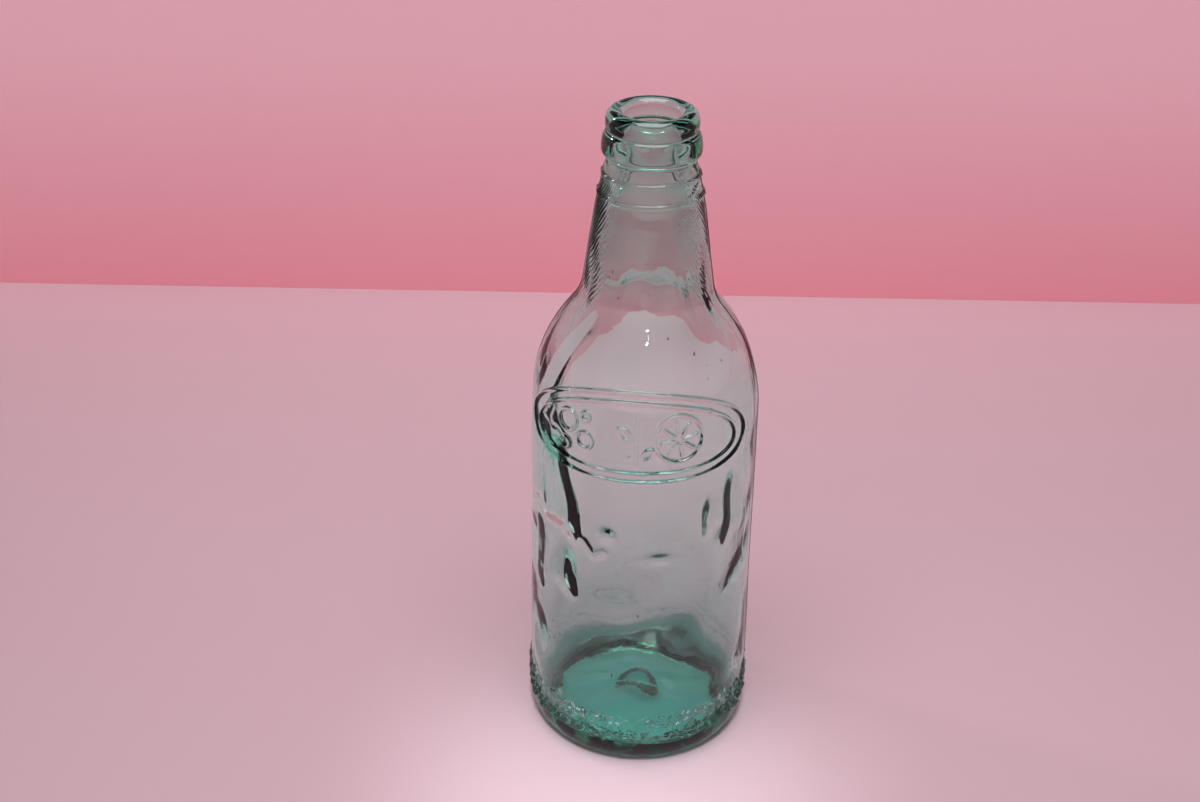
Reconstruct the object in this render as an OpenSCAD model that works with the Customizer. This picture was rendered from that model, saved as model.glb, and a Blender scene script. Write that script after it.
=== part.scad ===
// Glass soda bottle with a crown finish, empty and open.
// The table plane is z = 0, the bottle's axis is Z, and the front label faces -Y.
// The glass wall is divided into its regions by flat planes, and every raised mark stands on its
// outer surface. All outlines are lists of [radius, height].

/* [Overall] */
// Height from the table to the top of the rim
total_h = 206; // [204:0.5:208]
// Body radius just above the heel
heel_r = 35; // [34.6:0.1:35.4]
// Body radius where the shoulder starts
shoulder_r = 34.2; // [33.8:0.1:34.6]
// Thickness of the wall of the body and shoulder
wall_t = 3.2; // [2.8:0.1:3.6]
// Thickness of the wall at the upper end of the neck
neck_wall_t = 4.8; // [3.6:0.1:5.4]

/* [Base and heel] */
// Outer radius of the ring that bears on the table
foot_r = 29.5; // [29:0.5:30]
// Inner radius of the ring that bears on the table
foot_inner_r = 27.2; // [25:0.1:28]
// Height of the rounded heel
heel_h = 9; // [8:0.5:10]
// Depth of the hollow under the base
push_up = 2.6; // [2:0.2:3.4]
// Height of the inner floor at its edge
floor_edge_z = 6; // [5:0.5:7]
// How much higher the inner floor is at its centre
floor_rise = 1.5; // [0.5:0.5:2]
// Radius where the base plate of the mould meets the body mould
base_split_r = 28; // [27.5:0.5:28.5]

/* [Shoulder and neck] */
// Height where the shoulder starts
shoulder_z = 114.5; // [113:0.5:116]
// Radius of the convex shoulder curve
shoulder_curve_r = 50.5; // [49:0.5:52]
// Angle that the shoulder curve turns through
shoulder_turn = 40.4; // [39:0.1:42]
// Radius of the concave curve into the neck
neck_curve_r = 13; // [12:0.5:15]
// Slope of the lower neck from upright, in degrees
lower_neck_slope = 8; // [7:0.1:9]
// Height where the neck starts to narrow faster
neck_break_z = 175; // [172:0.5:178]
// Radius of the curve between the lower and the upper neck
neck_break_r = 77; // [60:1:90]
// Slope of the upper neck from upright, in degrees
upper_neck_slope = 11.8; // [11:0.1:12.5]

/* [Crown finish] */
// Outer diameter of the locking ring, which a crown cap grips
lip_d = 26.6; // [26.4:0.1:26.8]
// Diameter of the bead under the locking ring
bead_d = 28.8; // [28:0.1:29.4]
// Diameter of the bore in the mouth
bore_d = 16; // [15.6:0.1:16.4]
// Diameter of the highest circle of the rim
crest_d = 21.6; // [21:0.1:22.4]
// Diameter of the groove between the locking ring and the bead
groove_d = 25.2; // [24.8:0.1:25.6]

/* [Raised marks] */
// Height that the label ribs and emblems stand out
rib_h = 0.8; // [0.5:0.05:0.9]
// Width of the label ribs
rib_w = 0.9; // [0.7:0.05:1.2]
// Width of the strokes of the emblems
stroke_w = 0.9; // [0.7:0.05:1.1]
// Height of the label's widest line
label_z = 116; // [115:0.5:118]
// Half of the angle that the outer oval spans around the body
label_half_angle = 64; // [60:1:68]
// Height that the mould seams stand out
seam_h = 0.2; // [0.15:0.05:0.3]
// Number of bumps in each row of the heel band
heel_bumps = 48; // [36:2:60]

/* [Hidden] */
$fn = 120;

pale_glass = [0.72, 0.8, 0.77, 0.45];
sea_glass = [0.35, 0.6, 0.55, 0.6];
mark_glass = [0.5, 0.68, 0.64, 0.7];

lip_r = lip_d / 2;
bead_r = bead_d / 2;
bore_r = bore_d / 2;
crest_r = crest_d / 2;
groove_r = groove_d / 2;

// Heights of the finish, counted down from the rim because a crown finish is a standard one.
lip_land_h = 1.2;
lip_mid_z = total_h - 3.6;
groove_z = total_h - 6;
bead_z = total_h - 11.1;
neck_top_z = total_h - 13.5;
bore_top_z = total_h - 2.5;
bore_bottom_z = total_h - 16;

// Planes between the regions of the wall.
heel_top_z = 19;
neck_z = 152;

// Inner corner between the floor and the wall.
corner_top_z = 12;

function arc(centre_r, centre_z, size_r, size_z, from, to, steps) =
    [for (i = [0:steps]) let (a = from + (to - from) * i / steps)
        [centre_r + size_r * cos(a), centre_z + size_z * sin(a)]];

function last(list) = list[len(list) - 1];
function reversed(list) = [for (i = [len(list) - 1:-1:0]) list[i]];
function radius_at(outline, z) = lookup(z, [for (p = outline) [p[1], p[0]]]);

// The shoulder is a convex arc, a concave arc tangent to it, and a straight lower neck. The inside
// follows the same curves at the wall's thickness, so both come from one function. The neck's wall may
// end up thicker by some more at its upper end.
function shoulder_and_neck(inset, thicker = 0) =
    let (
        convex = arc(shoulder_r - shoulder_curve_r, shoulder_z, shoulder_curve_r - inset,
            shoulder_curve_r - inset, 0, shoulder_turn, 10),
        concave_r = neck_curve_r + inset,
        join = last(convex),
        concave = arc(join[0] + concave_r * cos(shoulder_turn), join[1] + concave_r * sin(shoulder_turn),
            -concave_r, -concave_r, shoulder_turn, lower_neck_slope, 5),
        foot = last(concave),
        top_r = foot[0] - (neck_break_z - foot[1]) * tan(lower_neck_slope) - thicker
    )
    concat(convex, [for (i = [1:5]) concave[i]], [[top_r, neck_break_z]]);

function upper_neck(start) =
    let (
        bend = arc(start[0] - neck_break_r * cos(lower_neck_slope),
            start[1] - neck_break_r * sin(lower_neck_slope),
            neck_break_r, neck_break_r, lower_neck_slope, upper_neck_slope, 3),
        top = last(bend)
    )
    concat([for (i = [1:3]) bend[i]],
        [[top[0] - (neck_top_z - top[1]) * tan(upper_neck_slope), neck_top_z]]);

BODY_OUTSIDE = concat(
    arc(foot_r, heel_h, heel_r - foot_r, heel_h, -90, 0, 7),
    shoulder_and_neck(0));
NECK_OUTSIDE = upper_neck(last(BODY_OUTSIDE));
neck_top_r = last(NECK_OUTSIDE)[0];

FINISH_OUTSIDE = concat(
    arc(neck_top_r, bead_z, bead_r - neck_top_r, bead_z - neck_top_z, -75, 0, 5),
    arc(groove_r, bead_z, bead_r - groove_r, groove_z - bead_z, 15, 90, 6),
    arc(groove_r, lip_mid_z - lip_land_h / 2, lip_r - groove_r,
        lip_mid_z - lip_land_h / 2 - groove_z, -60, 0, 3),
    arc(crest_r, lip_mid_z + lip_land_h / 2, lip_r - crest_r,
        total_h - lip_mid_z - lip_land_h / 2, 0, 90, 8));
OUTSIDE = concat(BODY_OUTSIDE, NECK_OUTSIDE, FINISH_OUTSIDE);

// The inside narrows from the neck to the bore in one smooth S-shaped step.
WALL_INSIDE = shoulder_and_neck(wall_t, neck_wall_t - wall_t);
throat = last(WALL_INSIDE);
THROAT_INSIDE = [for (i = [1:6]) let (t = i / 6)
    [throat[0] + (bore_r - throat[0]) * (1 - cos(180 * t)) / 2,
     throat[1] + (bore_bottom_z - throat[1]) * t]];
INSIDE = concat(
    arc(base_split_r, corner_top_z, heel_r - wall_t - base_split_r, corner_top_z - floor_edge_z, -90, 0, 6),
    WALL_INSIDE,
    THROAT_INSIDE,
    arc(crest_r, bore_top_z, bore_r - crest_r, total_h - bore_top_z, 0, 90, 6));

// Points of an outline from one height to another, both ends included.
function band(outline, z0, z1) = concat(
    [[radius_at(outline, z0), z0]],
    [for (p = outline) if (p[1] > z0 + 0.01 && p[1] < z1 - 0.01) p],
    [[radius_at(outline, z1), z1]]);

// Wall of the bottle between two heights.
module wall(z0, z1)
    rotate_extrude() polygon(concat(band(OUTSIDE, z0, z1), reversed(band(INSIDE, z0, z1))));

// Layer of even thickness on the outside of the bottle between two heights.
module skin(z0, z1, thickness)
    rotate_extrude() polygon(concat(
        [for (p = band(OUTSIDE, z0, z1)) p + [thickness, 0]],
        reversed(band(OUTSIDE, z0, z1))));

// Raised mark: a flat drawing that faces -Y, projected on the outside of the bottle.
module raised(z0, z1, height)
    intersection() {
        skin(z0, z1, height);
        rotate([90, 0, 0]) linear_extrude(heel_r + 5) children();
    }

// A drawing's point from its distance along the surface and its height, as seen from the front.
function front_point(s, z) = [radius_at(OUTSIDE, z) * sin(s / shoulder_r * 180 / PI), z];

// Label outline: half an ellipse above its widest line and a flatter curve below it.
label_half_w = label_half_angle * PI / 180 * shoulder_r;
label_up = 16.5;
label_down = 10.8;
label_gap_up = 2.6;
label_gap_down = 2.9;
label_gap_end = 4.8;
flat_exponent = 2.6;

function signed_power(x, e) = sign(x) * pow(abs(x), e);
function oval_point(half_w, up, down, a) =
    sin(a) >= 0 ? front_point(half_w * cos(a), label_z + up * sin(a))
    : front_point(half_w * signed_power(cos(a), 2 / flat_exponent),
        label_z + down * signed_power(sin(a), 2 / flat_exponent));
module oval(half_w, up, down)
    polygon([for (i = [0:71]) oval_point(half_w, up, down, i * 5)]);

module oval_rib(half_w, up, down)
    raised(label_z - down - 1, label_z + up + 1, rib_h)
        difference() {
            oval(half_w, up, down);
            oval(half_w - 1.6 * rib_w, up - rib_w, down - rib_w);
        }

// Drawing tools for the emblems.
module ring(s, z, r, width) {
    function circle_points(r) = [for (i = [0:23]) front_point(s + r * cos(i * 15), z + r * sin(i * 15))];
    difference() {
        polygon(circle_points(r));
        polygon(circle_points(r - width));
    }
}

module stroke(s0, z0, s1, z1, width) {
    length = norm([s1 - s0, z1 - z0]);
    side = [z0 - z1, s1 - s0] / length * width / 2;
    polygon([
        front_point(s0 + side[0], z0 + side[1]), front_point(s1 + side[0], z1 + side[1]),
        front_point(s1 - side[0], z1 - side[1]), front_point(s0 - side[0], z0 - side[1])
    ]);
}

module leaf(s, z, length, width, turn) {
    function edge(grow) = [for (i = [0:19]) let (a = i * 18, x = (length / 2 + 1.6 * grow) * cos(a),
        y = (width / 2 + grow) * sin(a) * abs(sin(a)))
        front_point(s + x * cos(turn) - y * sin(turn), z + x * sin(turn) + y * cos(turn))];
    difference() {
        polygon(edge(0));
        polygon(edge(-stroke_w));
    }
}

// Emblem on the left of the label: four rising bubbles.
BUBBLES = [[-20.5, 121, 3.6], [-14, 116.4, 2.9], [-20.8, 113.6, 2], [-14.2, 123.6, 1.7]];

// Emblem on the right of the label: a citrus slice beside a sprig with two leaves.
slice_s = 14;
slice_z = 119;
slice_r = 7.6;
spoke_count = 8;
spoke_from = 1.4;
spoke_to = 5.6;
sprig_s = 1.6;

// Rounded bead around the neck, closed on the neck's own outline.
module neck_ring(z, width, height)
    rotate_extrude() polygon(concat(
        [for (i = [-4:4]) [radius_at(OUTSIDE, z + i / 8 * width) + height * cos(i * 22.5), z + i / 8 * width]],
        [for (p = reversed(OUTSIDE)) if (abs(p[1] - z) < width / 2 - 0.01) p]));

ring_zs = [total_h - 18.5, total_h - 24];
ring_w = 1.6;
ring_h = 0.3;

// Rows of the heel band: height, and turn of the row as a share of the spacing.
BUMP_ROWS = [[11.6, 0], [14.3, 0.5], [17, 0.1]];
bump_r = 0.9;
bump_h = 0.5;
bump_sink = 1;

seam_w = 0.6;
seam_bottom_z = 1.5;

// Outline of the hollow under the base: a shallow dome with a steep edge.
HOLLOW = arc(0, 0, foot_inner_r, push_up, 90, 0, 12);
mark_depth = 0.6;
mark_y = 1;

module crown_lip() color(pale_glass) wall(groove_z, total_h);
module neck_bead() color(pale_glass) wall(neck_top_z, groove_z);
module neck() color(pale_glass) wall(neck_z, neck_top_z);
module shoulder() color(pale_glass) wall(shoulder_z, neck_z);
module body_wall() color(pale_glass) wall(heel_top_z, shoulder_z);

module heel()
    color(sea_glass) rotate_extrude() polygon(concat(
        [[base_split_r, 0]],
        band(OUTSIDE, 0, heel_top_z),
        reversed(band(INSIDE, floor_edge_z, heel_top_z))));

module base()
    color(sea_glass) rotate_extrude() polygon(concat(
        HOLLOW,
        [[base_split_r, 0]],
        [for (i = [6:-1:0]) let (r = base_split_r * i / 6)
            [r, floor_edge_z + floor_rise * (1 + cos(180 * r / base_split_r)) / 2]]));

module front_oval_outer() color(mark_glass) oval_rib(label_half_w, label_up, label_down);
module front_oval_inner()
    color(mark_glass)
        oval_rib(label_half_w - label_gap_end, label_up - label_gap_up, label_down - label_gap_down);

module front_bubbles()
    color(mark_glass) raised(label_z - 5, label_z + 10, rib_h)
        for (b = BUBBLES) ring(b[0], b[1], b[2], stroke_w);

module front_citrus()
    color(mark_glass) raised(label_z - 7, label_z + 12, rib_h) {
        ring(slice_s, slice_z, slice_r, stroke_w);
        for (i = [0:spoke_count - 1]) {
            a = 360 * i / spoke_count + 10;
            stroke(slice_s + spoke_from * cos(a), slice_z + spoke_from * sin(a),
                slice_s + spoke_to * cos(a), slice_z + spoke_to * sin(a), stroke_w);
        }
        stroke(sprig_s, slice_z - 8, sprig_s, slice_z + 7, stroke_w);
        leaf(sprig_s - 3.4, slice_z + 1.6, 6, 3.4, 140);
        leaf(sprig_s + 3.2, slice_z - 4.4, 5, 3.2, 50);
    }

module neck_rings() color(mark_glass) for (z = ring_zs) neck_ring(z, ring_w, ring_h);

module heel_stipple()
    color(mark_glass) intersection() {
        skin(heel_h + 0.5, heel_top_z, bump_h);
        for (row = BUMP_ROWS, i = [0:heel_bumps - 1])
            rotate([0, 0, 360 * (i + row[1]) / heel_bumps])
                translate([heel_r - bump_sink, 0, row[0]])
                    rotate([0, 90, 0]) cylinder(2 * bump_sink, r = bump_r, $fn = 24);
    }

module seam(side)
    color(mark_glass) intersection() {
        skin(seam_bottom_z, neck_top_z, seam_h);
        translate([side * (heel_r + 5) / 2, 0, total_h / 2]) cube([heel_r + 5, seam_w, total_h], center = true);
    }
module seam_left() seam(-1);
module seam_right() seam(1);

// Mark under the base: half a ring over a bar.
module base_mark()
    color(mark_glass) intersection() {
        rotate_extrude() polygon(concat(HOLLOW, [for (p = reversed(HOLLOW)) p - [0, mark_depth]]));
        translate([0, mark_y, -1]) linear_extrude(push_up + 2) {
            difference() {
                circle(6);
                circle(4.6);
                translate([-7, -14]) square(14);
            }
            translate([-6, -3.6]) square([12, 1.4]);
        }
    }

crown_lip();
neck_bead();
neck();
shoulder();
body_wall();
heel();
base();
front_oval_outer();
front_oval_inner();
front_bubbles();
front_citrus();
neck_rings();
heel_stipple();
seam_left();
seam_right();
base_mark();
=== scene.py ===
import math
import random

import bpy
import numpy as np
from mathutils import Matrix, Vector


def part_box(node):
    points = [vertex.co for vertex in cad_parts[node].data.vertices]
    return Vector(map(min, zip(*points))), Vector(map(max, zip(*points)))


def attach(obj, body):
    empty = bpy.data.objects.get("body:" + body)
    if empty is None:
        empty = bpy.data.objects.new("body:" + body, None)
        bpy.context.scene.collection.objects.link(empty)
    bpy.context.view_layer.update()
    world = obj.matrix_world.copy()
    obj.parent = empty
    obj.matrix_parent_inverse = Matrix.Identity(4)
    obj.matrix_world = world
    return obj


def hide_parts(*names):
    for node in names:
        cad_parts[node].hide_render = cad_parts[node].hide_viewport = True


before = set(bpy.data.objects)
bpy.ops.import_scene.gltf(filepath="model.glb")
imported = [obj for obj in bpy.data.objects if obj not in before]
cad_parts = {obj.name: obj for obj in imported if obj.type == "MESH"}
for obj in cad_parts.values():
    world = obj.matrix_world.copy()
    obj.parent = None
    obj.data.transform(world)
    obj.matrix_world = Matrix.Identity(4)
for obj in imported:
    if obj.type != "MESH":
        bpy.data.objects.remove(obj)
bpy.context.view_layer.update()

MM = 0.001
LOW, HIGH = 0, 1
X, Z = 0, 2


def cad(node, side, axis):
    """One side of a CAD node's box, in millimetres."""
    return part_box(node)[side][axis] / MM


# ---------------------------------------------------------------- sizes
TOTAL_H = cad("crown_lip", HIGH, Z)
LIP_R = cad("crown_lip", HIGH, X)
BEAD_R = cad("neck_bead", HIGH, X)
NECK_TOP_Z = cad("neck_bead", LOW, Z)
SHOULDER_Z = cad("shoulder", LOW, Z)
SHOULDER_R = cad("shoulder", HIGH, X)
HEEL_TOP_Z = cad("heel", HIGH, Z)
HEEL_R = cad("heel", HIGH, X)
SPLIT_R = cad("base", HIGH, X)

# The same design values as the CAD part.
WALL_T, NECK_WALL_T = 3.2, 4.8
FOOT_R, FOOT_INNER_R = 29.5, 27.2
HEEL_H = 9.0
PUSH_UP = 2.6
FLOOR_EDGE_Z, FLOOR_RISE = 6.0, 1.5
CORNER_TOP_Z = 12.0
SHOULDER_CURVE_R, SHOULDER_TURN = 50.5, math.radians(40.4)
NECK_CURVE_R = 13.0
LOWER_SLOPE, UPPER_SLOPE = math.radians(8.0), math.radians(11.8)
NECK_BREAK_Z, NECK_BREAK_R = 175.0, 77.0
BORE_R, CREST_R, GROOVE_R = 8.0, 10.8, 12.6
LIP_LAND_H = 1.2
BEAD_ARC, GROOVE_ARC = 0.83, 0.67
LIP_MID_Z = TOTAL_H - 3.6
GROOVE_Z = TOTAL_H - 6.0
BEAD_Z = TOTAL_H - 11.1
BORE_TOP_Z = TOTAL_H - 2.5
BORE_BOTTOM_Z = TOTAL_H - 16.0

LABEL_Z = 116.0
LABEL_HALF_W = math.radians(64.0) * SHOULDER_R
LABEL_UP, LABEL_DOWN = 16.5, 10.8
LABEL_GAP_UP, LABEL_GAP_DOWN, LABEL_GAP_END = 2.6, 2.9, 4.8
LABEL_FLATNESS = 2.6

# The label's ribs are rounder, wider and higher than in the CAD part (0.95 mm against 0.8 mm).
RIB_H, RIB_HALF_W = 0.95, 0.85
HALF_TURN = math.pi * SHOULDER_R


# ---------------------------------------------------------------- outline
def arc(centre, size, start, end):
    """Points every degree or so of an elliptical arc, as (radius, height). Angles in radians."""
    steps = max(2, int(abs(end - start) / math.radians(1.0)))
    a = np.linspace(start, end, steps + 1)
    return np.stack([centre[0] + size[0] * np.cos(a), centre[1] + size[1] * np.sin(a)], 1)


def shoulder_and_neck(inset, thicker=0):
    """Convex shoulder, concave turn and straight lower neck, at a depth of inset below the outside.
    The neck's wall may end up thicker still at its upper end."""
    curve = SHOULDER_CURVE_R - inset
    convex = arc((SHOULDER_R - SHOULDER_CURVE_R, SHOULDER_Z), (curve, curve), 0, SHOULDER_TURN)
    turn = NECK_CURVE_R + inset
    centre = convex[-1] + turn * np.array([math.cos(SHOULDER_TURN), math.sin(SHOULDER_TURN)])
    concave = arc(centre, (-turn, -turn), SHOULDER_TURN, LOWER_SLOPE)
    end_r = concave[-1][0] - (NECK_BREAK_Z - concave[-1][1]) * math.tan(LOWER_SLOPE)
    return [convex, concave, [(end_r - thicker, NECK_BREAK_Z)]]


def upper_neck(start):
    """From the neck's break up to the bead, with a quicker taper."""
    bend_centre = (start[0] - NECK_BREAK_R * math.cos(LOWER_SLOPE),
                   start[1] - NECK_BREAK_R * math.sin(LOWER_SLOPE))
    bend = arc(bend_centre, (NECK_BREAK_R, NECK_BREAK_R), LOWER_SLOPE, UPPER_SLOPE)
    top_r = bend[-1][0] - (NECK_TOP_Z - bend[-1][1]) * math.tan(UPPER_SLOPE)
    return [bend, [(top_r, NECK_TOP_Z)]]


def outline():
    """The closed outline as stretches of (radius, height): under the base, outside, inside."""
    quarter = math.pi / 2
    under = [arc((0, 0), (FOOT_INNER_R, PUSH_UP), quarter, 0), [(FOOT_R, 0)]]
    body = [arc((FOOT_R, HEEL_H), (HEEL_R - FOOT_R, HEEL_H), -quarter, 0), *shoulder_and_neck(0)]
    neck = upper_neck(body[-1][-1])
    neck_r = neck[-1][-1][0]
    finish = [
        arc((neck_r, BEAD_Z), (BEAD_R - neck_r, BEAD_Z - NECK_TOP_Z), -BEAD_ARC * quarter, 0),
        arc((GROOVE_R, BEAD_Z), (BEAD_R - GROOVE_R, GROOVE_Z - BEAD_Z), 0, quarter),
        arc((GROOVE_R, LIP_MID_Z - LIP_LAND_H / 2),
            (LIP_R - GROOVE_R, LIP_MID_Z - LIP_LAND_H / 2 - GROOVE_Z), -quarter * GROOVE_ARC, 0),
        arc((CREST_R, LIP_MID_Z + LIP_LAND_H / 2),
            (LIP_R - CREST_R, TOTAL_H - LIP_MID_Z - LIP_LAND_H / 2), 0, quarter),
    ]
    wall = shoulder_and_neck(WALL_T, NECK_WALL_T - WALL_T)
    throat = wall[-1][-1]
    t = np.linspace(0, 1, CURVE_STEPS)
    throat_curve = np.stack([
        throat[0] + (BORE_R - throat[0]) * (1 - np.cos(math.pi * t)) / 2,
        throat[1] + (BORE_BOTTOM_Z - throat[1]) * t], 1)
    floor_r = np.linspace(0, SPLIT_R, CURVE_STEPS)
    floor = np.stack([floor_r, FLOOR_EDGE_Z + FLOOR_RISE * (1 + np.cos(math.pi * floor_r / SPLIT_R)) / 2], 1)
    inside = [
        floor,
        arc((SPLIT_R, CORNER_TOP_Z), (HEEL_R - WALL_T - SPLIT_R, CORNER_TOP_Z - FLOOR_EDGE_Z), -quarter, 0),
        *wall, throat_curve,
        arc((CREST_R, BORE_TOP_Z), (BORE_R - CREST_R, TOTAL_H - BORE_TOP_Z), 0, quarter),
    ]
    return [np.concatenate([np.asarray(s, float) for s in part])
            for part in (under, body + neck + finish, inside)]


OUTLINE_STEP = 0.05
CURVE_STEPS = 40
FILLET = 0.3


def evenly(points, step):
    """The polyline's points at even steps along it."""
    points = points[np.concatenate([[True], np.linalg.norm(np.diff(points, axis=0), axis=1) > 1e-6])]
    along = np.concatenate([[0], np.cumsum(np.linalg.norm(np.diff(points, axis=0), axis=1))])
    at = np.linspace(0, along[-1], int(along[-1] / step) + 1)
    return np.stack([np.interp(at, along, points[:, k]) for k in range(2)], 1)


def softened(points):
    """Rounds the outline's corners with a small fillet, as in moulded glass."""
    reach = int(3 * FILLET / OUTLINE_STEP)
    weights = np.exp(-0.5 * (np.arange(-reach, reach + 1) * OUTLINE_STEP / FILLET) ** 2)
    weights /= weights.sum()
    mirrored = points[reach:0:-1] * [-1, 1]
    tail = points[-2:-reach - 2:-1] * [-1, 1]
    padded = np.concatenate([mirrored, points, tail])
    return np.stack([np.convolve(padded[:, k], weights, "valid") for k in range(2)], 1)


UNDER, OUTSIDE, INSIDE = 0, 1, 2
FINE, COARSE = 720, 360
# Where the rows' spacing changes: radii under the base and on the inner floor, height on the neck.
MARK_REACH, FLOOR_REACH, PLAIN_NECK_Z = 14, 18, 150


def row_spacing(part, r, z):
    """Distance between the mesh's rows, close where there is relief."""
    if part == UNDER:
        return np.where(r < MARK_REACH, 0.45, 1.0)
    if part == INSIDE:
        return np.select(
            [z > BORE_TOP_Z - 1, z > NECK_BREAK_Z, z > CORNER_TOP_Z + 6, r > FLOOR_REACH],
            [0.3, 0.7, 0.8, 0.5], 0.6)
    return np.select(
        [z < HEEL_H, z < HEEL_TOP_Z + 1.5, z < LABEL_Z - LABEL_DOWN - 1.5,
         z < LABEL_Z + LABEL_UP + 1.5, z < PLAIN_NECK_Z, z < NECK_TOP_Z - 0.5],
        [0.6, 0.25, 0.9, 0.27, 0.8, 0.4], 0.25)


def outline_rows():
    """(radius, height, normal, part) of each row of the mesh, from under the base to the inner floor."""
    under, outside, inside = outline()
    inside = inside[::-1]
    whole = np.concatenate([under, outside, inside])
    dense = softened(evenly(whole, OUTLINE_STEP))
    tangent = np.gradient(dense, axis=0)
    normal = np.stack([tangent[:, 1], -tangent[:, 0]], 1)
    normal /= np.linalg.norm(normal, axis=1)[:, None]
    index = np.arange(len(dense))
    foot = index[np.argmax((dense[:, 0] > FOOT_R - 0.5))]
    crest = index[np.argmax(dense[:, 1])]
    part = np.select([index < foot, index < crest], [UNDER, OUTSIDE], INSIDE)
    spacing = np.select([part == UNDER, part == OUTSIDE],
                        [row_spacing(UNDER, dense[:, 0], dense[:, 1]),
                         row_spacing(OUTSIDE, dense[:, 0], dense[:, 1])],
                        row_spacing(INSIDE, dense[:, 0], dense[:, 1]))
    level = np.cumsum(OUTLINE_STEP / spacing)
    picks = np.interp(np.arange(level[0], level[-1]), level, index)
    picks = np.unique(np.round(picks).astype(int))
    return dense[picks], normal[picks], part[picks]


# ---------------------------------------------------------------- relief
def bump(distance, half_width):
    """A smooth hill: 1 at distance 0 and 0 from half_width on."""
    t = np.clip(distance / half_width, 0, 1)
    return (1 - t * t) ** 2


def tent(distance, half_width):
    """A hill with even slopes and a soft foot: 1 at distance 0 and 0 from half_width on."""
    return (1 - np.clip(distance / half_width, 0, 1)) ** 1.3


def add_stroke(relief, u, v, points, half_width, height, profile=bump):
    """Raises a stroke along a polyline. u and v are the map's coordinates in millimetres."""
    for (u0, v0), (u1, v1) in zip(points[:-1], points[1:]):
        rows = np.flatnonzero((v >= min(v0, v1) - half_width) & (v <= max(v0, v1) + half_width))
        columns = np.flatnonzero((u >= min(u0, u1) - half_width) & (u <= max(u0, u1) + half_width))
        if not len(rows) or not len(columns):
            continue
        block = np.ix_(rows, columns)
        du, dv = u[columns][None, :] - u0, v[rows][:, None] - v0
        length = math.hypot(u1 - u0, v1 - v0) or 1e-9
        t = np.clip((du * (u1 - u0) + dv * (v1 - v0)) / length ** 2, 0, 1)
        distance = np.hypot(du - t * (u1 - u0), dv - t * (v1 - v0))
        relief[block] = np.maximum(relief[block], height * profile(distance, half_width))


def signed_power(x, e):
    """x to the power e, keeping the sign of x."""
    return math.copysign(abs(x) ** e, x)


def oval(half_w, up, down):
    """The label's outline: half an ellipse above its widest line, and a flatter curve below it."""
    points = []
    for a in np.radians(np.arange(0, 361, 4)):
        if math.sin(a) >= 0:
            points.append((half_w * math.cos(a), LABEL_Z + up * math.sin(a)))
        else:
            e = 2 / LABEL_FLATNESS
            points.append((half_w * signed_power(math.cos(a), e),
                           LABEL_Z + down * signed_power(math.sin(a), e)))
    return points


def circle(u, v, r):
    """Outline of a circle."""
    return [(u + r * math.cos(a), v + r * math.sin(a)) for a in np.radians(np.linspace(0, 360, 33))]


def leaf(u, v, length, width, turn):
    """Outline of a pointed leaf."""
    points = []
    for a in np.radians(np.arange(0, 361, 15)):
        x, y = length / 2 * math.cos(a), width / 2 * math.sin(a) * abs(math.sin(a))
        points.append((u + x * math.cos(turn) - y * math.sin(turn),
                       v + x * math.sin(turn) + y * math.cos(turn)))
    return points


# Bubbles: place round the bottle, height, radius. Leaves: place from the sprig's stem and from the
# slice's middle, length, width, lean in degrees.
BUBBLES = [(-20.5, 121, 3.2), (-14, 116.4, 2.5), (-20.8, 113.6, 1.6), (-14.2, 123.6, 1.3)]
SLICE_U, SLICE_Z, SLICE_R = 14.0, 119.0, 7.2
SPOKES, SPOKE_FROM, SPOKE_TO, SPOKE_TURN = 8, 1.6, 5.3, math.radians(10)
SPRIG_U, SPRIG_DOWN, SPRIG_UP = 1.6, 7.6, 6.6
LEAVES = [(-3.4, 1.6, 5.2, 2.6, 140), (3.2, -4.4, 4.4, 2.4, 50)]
STROKE_HALF_W = 0.85
OVALS = 2


def label_strokes():
    """Every stroke of the front label: two ovals, four bubbles, a citrus slice and a sprig."""
    strokes = [oval(LABEL_HALF_W, LABEL_UP, LABEL_DOWN),
               oval(LABEL_HALF_W - LABEL_GAP_END, LABEL_UP - LABEL_GAP_UP, LABEL_DOWN - LABEL_GAP_DOWN)]
    strokes += [circle(*b) for b in BUBBLES]
    strokes.append(circle(SLICE_U, SLICE_Z, SLICE_R))
    for i in range(SPOKES):
        a = math.tau * i / SPOKES + SPOKE_TURN
        strokes.append([(SLICE_U + d * math.cos(a), SLICE_Z + d * math.sin(a))
                        for d in (SPOKE_FROM, SPOKE_TO)])
    strokes.append([(SPRIG_U, SLICE_Z - SPRIG_DOWN), (SPRIG_U, SLICE_Z + SPRIG_UP)])
    for across, up, length, width, lean in LEAVES:
        strokes.append(leaf(SPRIG_U + across, SLICE_Z + up, length, width, math.radians(lean)))
    return strokes


def ripple(theta, z, seed, waves, around, wavelength):
    """Gentle random unevenness of about 1 in height, seamless round the bottle.
    around is the range of whole waves round the bottle, wavelength the range up it in millimetres."""
    draw = random.Random(seed)
    total = 0
    for _ in range(waves):
        turns = draw.randint(*around)
        rise = math.tau / draw.uniform(*wavelength) * draw.choice((-1, 1))
        total = total + np.cos(turns * theta + rise * z + draw.uniform(0, math.tau))
    return total / math.sqrt(waves)


def smooth_band(z, low, high, edge):
    """1 between two heights or radii and 0 outside them, with soft edges."""
    t = np.clip(np.minimum(z - low, high - z) / edge, 0, 1)
    return t * t * (3 - 2 * t)


def turned(theta, centre):
    """Angle from centre, between -pi and pi."""
    return (theta - centre + math.pi) % math.tau - math.pi


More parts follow.
